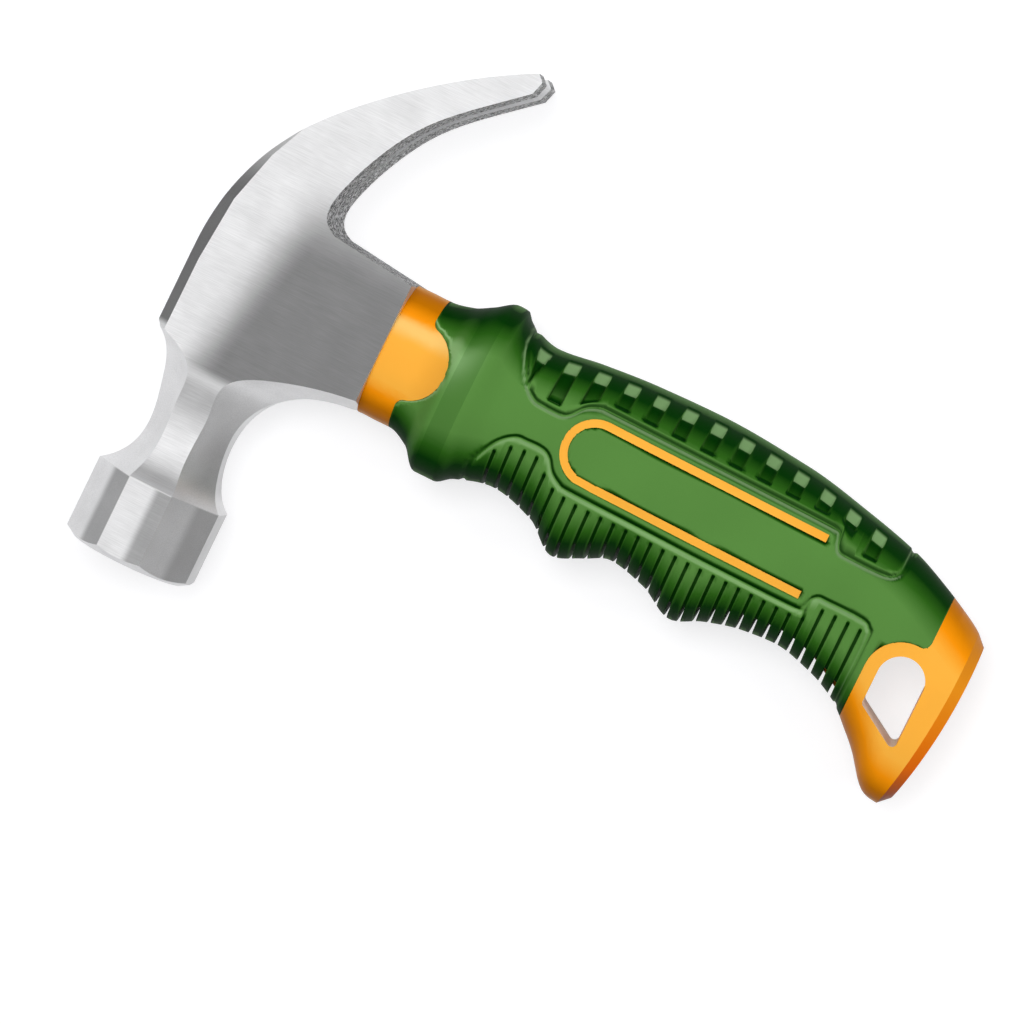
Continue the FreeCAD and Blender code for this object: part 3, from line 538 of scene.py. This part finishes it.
def steel_material():
    """Forged steel, brushed along the handle; rough and dull under the claw. Painted shade darkens the
    cheek, one part of each flat of the poll, the neck above the poll's shoulder and the bevel along the
    crown.
    """
    n = Nodes("brushed_forged_steel")
    where = n.local()
    x, y = n.split(where)[:2]
    facing = n.split(n.add("ShaderNodeTexCoord").outputs["Normal"])
    brush = n.noise(where, 1.0, (0.22, 7.0, 7.0), 3.0, 0.6)
    cloud = n.noise(where, 0.16, (1, 1, 1), 2.0, 0.5)
    grain = n.noise(where, 1.7, (1, 1, 1), 4.0, 0.7)
    flat = n.span(n.math("ABSOLUTE", facing[2]), 0.9, 0.99)
    # painted shade: the cheek is painted darker than the crown, the claw and the neck
    edge = n.math("ADD", x, n.math("MULTIPLY", y, -0.22))
    cheek_shade = n.math("MULTIPLY", n.span(edge, 8.0, 18.5), n.span(y, 30.0, 8.0))
    cheek_shade = n.math("MULTIPLY", cheek_shade, n.math("MULTIPLY", n.span(y, -20.0, -17.2), flat))
    # painted shade: each flat of the poll is painted darker on its handle side, lighter on its crown side
    on_poll = n.math("MULTIPLY", n.span(y, -41.5, -41.8), n.span(facing[1], -0.9, -0.5))
    shade_band = n.math("MULTIPLY", n.span(x, 4.0, 5.6), n.span(x, 8.75, 8.55))
    shade_band = n.math("ADD", shade_band, n.math("MULTIPLY", n.span(x, 13.4, 15.2), n.span(x, 17.5, 17.3)))
    shade_band = n.math("ADD", shade_band, n.math("MULTIPLY", n.span(x, 21.0, 22.6), 0.55))
    # painted shade: the neck is painted darker on its handle side, above the poll's shoulder
    neck_shade = n.math("MULTIPLY", n.span(y, -40.6, -37.5), n.span(y, -22.0, -33.0))
    neck_shade = n.math("MULTIPLY", n.math("MULTIPLY", n.span(x, 16.5, 20.5), neck_shade), 0.5)
    painted_shade = n.math("MAXIMUM", n.math("MULTIPLY", shade_band, on_poll), neck_shade)
    painted_shade = n.math("MULTIPLY", painted_shade, 0.75)
    shaded_polish = n.mix(cheek_shade, grey(0.80), grey(0.22))
    shaded_polish = n.mix(painted_shade, shaded_polish, grey(0.24))
    # painted shade on the bevel along the crown
    crown_bevel_shade = n.math("MULTIPLY", n.span(y, -14.0, -12.5), n.span(y, 30.0, 14.0))
    crown_bevel_shade = n.math("MULTIPLY", crown_bevel_shade, n.span(n.math("ABSOLUTE", facing[2]), 0.5, 0.65))
    crown_bevel_shade = n.math("MULTIPLY", crown_bevel_shade, n.span(facing[0], -0.35, -0.5))
    shaded_polish = n.mix(crown_bevel_shade, shaded_polish, grey(0.20))
    streaks = n.math("MULTIPLY_ADD", n.math("SUBTRACT", brush, 0.5), 0.45, 1.0)
    clouds = n.math("MULTIPLY_ADD", n.math("SUBTRACT", cloud, 0.5), 0.25, 1.0)
    polished = n.add("ShaderNodeVectorMath", operation="SCALE")
    n.put(polished.inputs[0], shaded_polish)
    n.put(polished.inputs["Scale"], n.math("MULTIPLY", streaks, clouds))
    # rough forging: under the claw and along the claw side of the cheek
    under = n.math("MULTIPLY", n.span(facing[0], 0.15, 0.4), n.span(y, 13.2, 14.2))
    side = n.math("MULTIPLY", n.span(facing[1], 0.4, 0.8), n.span(x, 18.0, 20.0))
    level = n.math("MULTIPLY", n.span(y, 20.0, 17.0), n.span(y, 8.0, 10.0))
    side = n.math("MULTIPLY", side, level)
    rough = n.math("MAXIMUM", under, side)
    raw = n.mix(n.span(grain, 0.42, 0.60), grey(0.03), grey(0.80))
    gloss = n.math("MULTIPLY_ADD", brush, 0.12, 0.30)
    gloss = n.math("ADD", gloss, n.math("MULTIPLY", rough, 0.25))
    n.set(Base_Color=n.mix(rough, polished.outputs[0], raw), Metallic=0.55, Roughness=gloss)
    pits = n.math("MULTIPLY", n.math("MULTIPLY", grain, rough), 0.9)
    height = n.math("ADD", n.math("MULTIPLY", brush, 0.02), pits)
    n.bump(height, 0.8, 0.0008)
    return n.material


def rubber_material():
    """Soft-touch green rubber: a fine moulded grain, painted shade where the grip turns away to its upper
    and lower edges with a painted rim light at the very edge, a painted highlight near the front seam,
    painted shade on the guard flange's band, and the painted shade and highlights of the moulded relief."""
    n = Nodes("soft_green_rubber")
    where = n.local()
    x = n.split(where)[0]
    lean = n.split(n.add("ShaderNodeTexCoord").outputs["Normal"])[1]
    grain = n.noise(where, 5.0, (1, 1, 1), 3.0, 0.6)
    cloud = n.noise(where, 0.07, (1, 1, 1), 1.0, 0.4)
    # painted shade: deeper green where the grip turns away to its upper and lower edges, with a painted rim
    # light at the very edge
    shaded_base = n.ramp(n.math("ABSOLUTE", lean), [
        (0.0, (0.100, 0.255, 0.052, 1)), (0.24, (0.100, 0.255, 0.052, 1)), (0.46, (0.028, 0.125, 0.010, 1)),
        (0.66, (0.001, 0.034, 0.001, 1)), (0.90, (0.001, 0.030, 0.001, 1)), (1.0, (0.085, 0.215, 0.050, 1))])
    # painted highlight on the flare near the front seam
    painted_highlight = n.math("MULTIPLY", n.span(lean, -0.05, 0.16), n.span(lean, 0.36, 0.2))
    painted_highlight = n.math("MULTIPLY", painted_highlight, n.span(x, 60.0, 53.0))
    shaded_base = n.mix(n.math("MULTIPLY", painted_highlight, 0.75), shaded_base, (0.30, 0.52, 0.22, 1))
    # painted shade on the guard flange's band
    begun = n.span(x, FLANGE - 0.02, FLANGE + 0.02)
    shade_band = n.math("MULTIPLY", begun, n.span(x, FLANGE_END + 0.02, FLANGE_END - 0.02))
    shaded_base = n.mix(n.math("MULTIPLY", shade_band, 0.22), shaded_base, (0.0, 0.05, 0.0, 1))
    # painted shade and painted highlight of the moulded relief
    relief_shading = n.add("ShaderNodeAttribute", attribute_name="relief_shading").outputs["Fac"]
    shaded_base = n.mix(n.math("MULTIPLY", n.span(relief_shading, 0.0, -1.0), 0.9), shaded_base, (0.0, 0.028, 0.0, 1))
    shaded_base = n.mix(n.math("MULTIPLY", n.span(relief_shading, 0.0, 1.0), 0.6), shaded_base, (0.30, 0.50, 0.22, 1))
    shade = n.add("ShaderNodeVectorMath", operation="SCALE")
    n.put(shade.inputs[0], shaded_base)
    n.put(shade.inputs["Scale"], n.math("MULTIPLY_ADD", cloud, 0.16, 0.92))
    n.set(Base_Color=shade.outputs[0], Roughness=n.math("MULTIPLY_ADD", grain, 0.1, 0.5))
    n.shader.inputs["Specular IOR Level"].default_value = 0.04
    n.bump(grain, 0.1, 0.0002)
    return n.material


def plastic_material():
    """Orange moulded plastic, with painted shade deepening towards its upper and lower edges, a painted rim
    light at the very edge and a painted highlight near the front seam; the end's bevel is painted redder and
    dark brown at its bottom as shade, and the wall of the hanging hole is painted pale as a highlight where
    it faces the claw side and brown as shade where it faces away."""
    n = Nodes("orange_hard_plastic")
    where = n.local()
    x, y = n.split(where)[:2]
    facing = n.split(n.add("ShaderNodeTexCoord").outputs["Normal"])
    cloud = n.noise(where, 0.1, (1, 1, 1), 2.0, 0.5)
    grain = n.noise(where, 3.0, (1, 1, 1), 2.0, 0.5)
    # painted shade: deeper orange where the jacket turns away to its upper and lower edges, with a painted
    # rim light at the very edge
    shaded_base = n.ramp(n.math("ABSOLUTE", facing[1]), [
        (0.0, (1.0, 0.455, 0.050, 1)), (0.22, (1.0, 0.470, 0.055, 1)), (0.42, (1.0, 0.320, 0.003, 1)),
        (0.68, (0.62, 0.190, 0.0, 1)), (0.90, (0.62, 0.190, 0.0, 1)), (1.0, (0.95, 0.40, 0.06, 1))])
    # painted highlight on the collar near the front seam
    painted_highlight = n.math("MULTIPLY", n.span(facing[1], 0.08, 0.22), n.span(facing[1], 0.4, 0.26))
    painted_highlight = n.math("MULTIPLY", painted_highlight, n.span(x, 60.0, 53.0))
    shaded_base = n.mix(n.math("MULTIPLY", painted_highlight, 0.8), shaded_base, (1.0, 0.63, 0.19, 1))
    # painted shade: the bevel at the butt's end is painted redder, dark brown towards its bottom
    end = n.math("MULTIPLY", n.span(facing[0], 0.3, 0.5), n.span(x, 156.5, 157.5))
    end = n.math("MULTIPLY", end, n.span(n.math("ABSOLUTE", facing[2]), 0.05, 0.25))
    low = n.math("DIVIDE", n.math("SUBTRACT", 2.0, y), 37.0)
    bevel_shade = n.ramp(low, [
        (0.0, (0.70, 0.24, 0.01, 1)), (0.3, (1.0, 0.34, 0.012, 1)),
        (0.75, (1.0, 0.18, 0.0, 1)), (0.98, (0.25, 0.045, 0.0, 1))])
    shaded_base = n.mix(end, shaded_base, bevel_shade)
    # painted highlight and painted shade on the wall of the hanging hole
    across = n.math("MULTIPLY", n.span(x, 147.6, 147.7), n.span(x, 157.0, 156.9))
    upright = n.math("MULTIPLY", n.span(y, -25.5, -25.4), n.span(y, -7.4, -7.5))
    wall = n.math("MULTIPLY", n.span(n.math("ABSOLUTE", facing[2]), 0.3, 0.1), across)
    wall = n.math("MULTIPLY", wall, upright)
    shaded_base = n.mix(n.math("MULTIPLY", wall, n.span(facing[1], 0.1, 0.3)), shaded_base, (1.0, 0.84, 0.62, 1))
    shaded_base = n.mix(n.math("MULTIPLY", wall, n.span(facing[1], -0.1, -0.3)), shaded_base, (0.42, 0.20, 0.05, 1))
    shade = n.add("ShaderNodeVectorMath", operation="SCALE")
    n.put(shade.inputs[0], shaded_base)
    n.put(shade.inputs["Scale"], n.math("MULTIPLY_ADD", cloud, 0.1, 0.95))
    n.set(Base_Color=shade.outputs[0], Roughness=n.math("MULTIPLY_ADD", grain, 0.08, 0.34))
    n.shader.inputs["Specular IOR Level"].default_value = 0.06
    n.bump(grain, 0.06, 0.0002)
    return n.material


def resin_material():
    """Dark cured resin in the eye."""
    n = Nodes("dark_resin")
    where = n.local()
    cloud = n.noise(where, 0.8, (1, 1, 1), 3.0, 0.6)
    n.set(Base_Color=n.mix(cloud, (0.03, 0.026, 0.022, 1), (0.07, 0.06, 0.05, 1)),
          Roughness=n.math("MULTIPLY_ADD", cloud, 0.2, 0.25))
    n.bump(cloud, 0.3, 0.0005)
    return n.material


def fibre_material():
    """Pale glass fibre in resin, its strands along the rod."""
    n = Nodes("glass_fibre")
    where = n.local()
    strand = n.noise(where, 1.0, (0.1, 6.0, 6.0), 3.0, 0.6)
    n.set(Base_Color=n.mix(strand, (0.60, 0.50, 0.28, 1), (0.80, 0.72, 0.50, 1)), Roughness=0.4)
    n.bump(strand, 0.2, 0.0003)
    return n.material


def dress(item, material):
    item.data.materials.clear()
    item.data.materials.append(material)


# ------------------------------------------------------------------ the object

grip = grip_mesh()
dress(grip, rubber_material())
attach(grip, "root")
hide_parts("soft_grip")

dress(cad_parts["steel_head"], steel_material())
dress(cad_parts["handle_jacket"], plastic_material())
dress(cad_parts["epoxy_bond"], resin_material())
dress(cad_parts["fibreglass_core"], fibre_material())
dress(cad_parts["soft_grip"], rubber_material())


# ------------------------------------------------------------------ stage, light, camera

def floor_material():
    """Pale floor: seen directly or in the steel it is white, with the hammer's soft shadow on it."""
    n = Nodes("pale_floor")
    where = n.add("ShaderNodeTexCoord").outputs["Object"]
    cloud = n.noise(where, 3.0, (1, 1, 1), 2.0, 0.5)
    path = n.add("ShaderNodeLightPath")
    seen = n.math("MAXIMUM", path.outputs["Is Camera Ray"], path.outputs["Is Glossy Ray"])
    n.set(Base_Color=n.mix(cloud, grey(0.38), grey(0.40)), Roughness=0.9,
          Emission_Strength=n.math("MULTIPLY", seen, 0.72))
    n.shader.inputs["Emission Color"].default_value = grey(1.0)
    n.shader.inputs["Specular IOR Level"].default_value = 0.0
    return n.material


FLOOR_HALF = 3.0
CORNERS = ((-1, -1), (1, -1), (1, 1), (-1, 1))
floor = mesh_object("floor", [(sx * FLOOR_HALF, sy * FLOOR_HALF, 0.0) for sx, sy in CORNERS],
                    [(0, 1, 2, 3)])
dress(floor, floor_material())


def softbox(name, direction, distance, width, height, power, mirrored=True):
    """A rectangular lamp that looks at the middle of the hammer from direction. Where it isn't
    mirrored, it lights the hammer but isn't seen in it."""
    data = bpy.data.lights.new(name, "AREA")
    data.shape = "RECTANGLE"
    data.size = width
    data.size_y = height
    data.energy = power
    lamp = bpy.data.objects.new(name, data)
    bpy.context.scene.collection.objects.link(lamp)
    aim = place(75, -5, 0)
    spot = Vector(direction).normalized() * distance
    lamp.location = aim + spot
    lamp.rotation_euler = spot.to_track_quat("Z", "Y").to_euler()
    lamp.visible_glossy = mirrored


softbox("overhead", (-0.25, 0.15, 1.0), 1.0, 1.5, 1.3, 6.0)
softbox("key", (-0.1, 0.15, 1.0), 1.2, 0.45, 0.45, 5.6, mirrored=False)
softbox("left", (-1.0, -0.2, 0.35), 1.2, 0.9, 0.5, 1.2)
softbox("right", (0.8, 0.5, 0.8), 1.0, 0.5, 0.5, 3.2, mirrored=False)


def studio_world():
    """An even studio: dim at the horizon, brighter overhead."""
    world = bpy.data.worlds.new("studio")
    world.use_nodes = True
    tree = world.node_tree
    where = tree.nodes.new("ShaderNodeTexCoord")
    split = tree.nodes.new("ShaderNodeSeparateXYZ")
    spread = tree.nodes.new("ShaderNodeMapRange")
    spread.interpolation_type = "SMOOTHSTEP"
    for socket, value in (("From Min", 0.0), ("From Max", 0.8), ("To Min", 0.25), ("To Max", 0.75)):
        spread.inputs[socket].default_value = value
    tree.links.new(where.outputs["Generated"], split.inputs[0])
    tree.links.new(split.outputs[2], spread.inputs["Value"])
    tree.links.new(spread.outputs[0], tree.nodes["Background"].inputs["Strength"])
    bpy.context.scene.world = world


studio_world()

# The camera stands above the butt end and a little to the claw side, and looks at the middle.
ROLL = math.radians(26.4)
EYE = place(148.4, 40.0, 800.0)
AIM = place(74.1, -16.8, 0.0)
FIELD = 190.3 * MM

data = bpy.data.cameras.new("camera")
camera = bpy.data.objects.new("camera", data)
bpy.context.scene.collection.objects.link(camera)
back = (EYE - AIM).normalized()
right = Vector((math.cos(ROLL), math.sin(ROLL), 0.0))
right = (right - back * right.dot(back)).normalized()
up = back.cross(right)
turn = Matrix((right, up, back)).transposed()
camera.matrix_world = Matrix.Translation(EYE) @ turn.to_4x4()
data.angle = 2 * math.atan(FIELD / 2 / (EYE - AIM).length)
data.clip_start = 0.01
bpy.context.scene.camera = camera
bpy.context.scene.view_settings.view_transform = "Standard"
